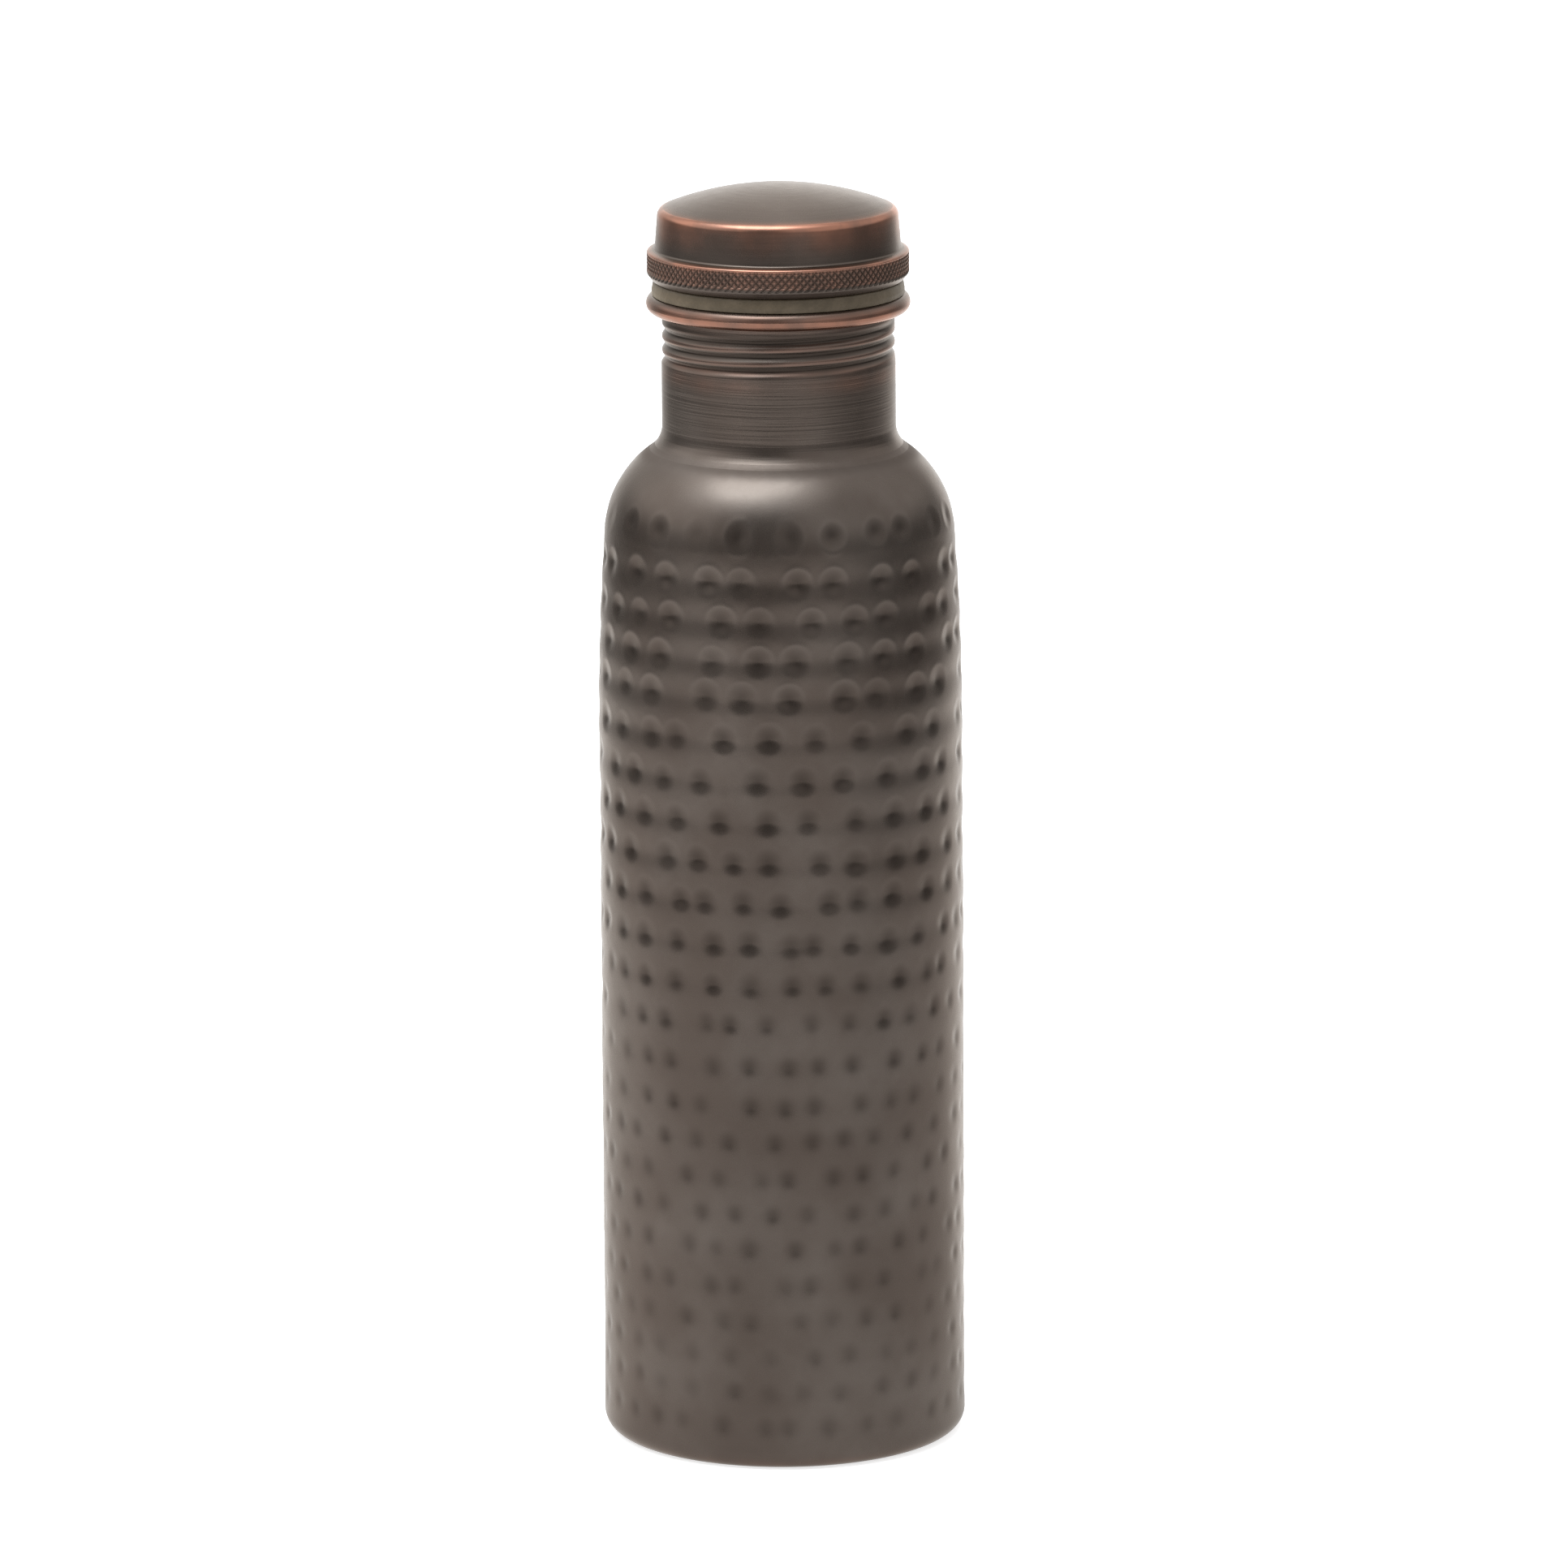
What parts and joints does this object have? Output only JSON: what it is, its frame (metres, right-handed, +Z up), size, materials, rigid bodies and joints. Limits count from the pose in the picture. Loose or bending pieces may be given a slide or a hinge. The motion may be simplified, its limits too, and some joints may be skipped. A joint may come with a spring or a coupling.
{
  "type": "copper water bottle",
  "caption": "Hammered copper water bottle with an antique finish, a threaded neck with a rolled lip, and a knurled cap that unscrews.",
  "frame": {"origin": "centre of the resting plane, on the bottle's axis", "axes": "+Z up along the bottle's axis, from the base to the crown of the cap; +X and +Y are arbitrary, because only the screw thread is not round about the axis"},
  "size_m": [0.076, 0.076, 0.265],
  "materials": {
    "antique_copper": "oxidised dark brown, satin, buffed on the edges",
    "plain_copper": "satin",
    "braze": "dull",
    "silicone": "matte"
  },
  "bodies": {
    "bottle": {"body_shell": "antique_copper", "base_plate": "antique_copper", "base_braze_ring": "braze", "neck": "antique_copper", "neck_braze_ring": "braze"},
    "gasket": {"gasket": "silicone"},
    "cap": {"cap_shell": "antique_copper", "plug_sleeve": "plain_copper", "plug_end": "plain_copper", "plug_braze_ring": "braze"}
  },
  "joints": [
    {"name": "cap_rise", "type": "slide", "parent": "bottle", "child": "gasket", "axis": [0, 0, 1], "range_m": [0, 0.02176]},
    {"name": "cap_turn", "type": "hinge", "parent": "gasket", "child": "cap", "pos_m": [0, 0, 0.244], "axis": [0, 0, 1], "range_deg": [0, 2700]}
  ],
  "couplings": [
    {"joint": "cap_rise", "follows": "cap_turn", "m_per_rad": 0.00046155}
  ]
}
